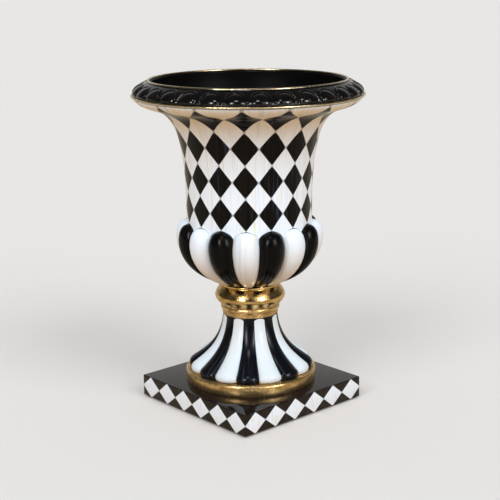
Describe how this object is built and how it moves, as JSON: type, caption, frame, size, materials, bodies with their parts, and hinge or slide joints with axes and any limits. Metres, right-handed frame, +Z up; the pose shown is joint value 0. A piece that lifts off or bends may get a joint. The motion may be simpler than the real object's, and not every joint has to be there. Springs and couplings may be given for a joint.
{
  "type": "urn planter",
  "caption": "Bell-shaped urn planter with a beaded rim, lobed belly, turned gilt collar, ribbed pedestal and square plinth; a drain plug lifts out of its floor.",
  "frame": {"origin": "on the floor under the centre of the square plinth, at the underside of the foot pads", "axes": "+Z up along the urn's axis; X and Y run along the plinth's sides"},
  "size_m": [0.4336, 0.4336, 0.6237],
  "materials": {
    "lozenge_enamel": "gloss enamel, ivory with black lozenges",
    "striped_enamel": "gloss enamel, ivory and black ribs",
    "plinth_enamel": "gloss enamel, black with an ivory lozenge band",
    "black_gloss": "high gloss cast resin",
    "gilt_metal": "polished gilt, lightly mottled",
    "zinc_steel": "zinc plated",
    "rubber": "matt",
    "board": "sealed fibreboard"
  },
  "bodies": {
    "urn": {"plinth_shell": "plinth_enamel", "plinth_baseboard": "board", "baseboard_screw_1": "zinc_steel", "baseboard_screw_2": "zinc_steel", "baseboard_screw_3": "zinc_steel", "baseboard_screw_4": "zinc_steel", "foot_pad_1": "rubber", "foot_pad_2": "rubber", "foot_pad_3": "rubber", "foot_pad_4": "rubber", "base_ring": "gilt_metal", "pedestal_shell": "striped_enamel", "collar_bead_ring": "gilt_metal", "collar_knop": "gilt_metal", "bowl_belly": "striped_enamel", "bowl_bell": "lozenge_enamel", "rim_moulding": "black_gloss", "rim_outer_bead": "gilt_metal", "rim_inner_bead": "gilt_metal", "tie_rod": "zinc_steel", "sealing_washer": "rubber", "top_washer": "zinc_steel", "rod_top_nut": "zinc_steel", "bottom_washer": "zinc_steel", "rod_bottom_nut": "zinc_steel"},
    "plug": {"drain_plug": "rubber"}
  },
  "joints": [
    {"name": "plug_lift", "type": "slide", "parent": "urn", "child": "plug", "axis": [0, 0, 1], "range_m": [0, 0.08]}
  ]
}
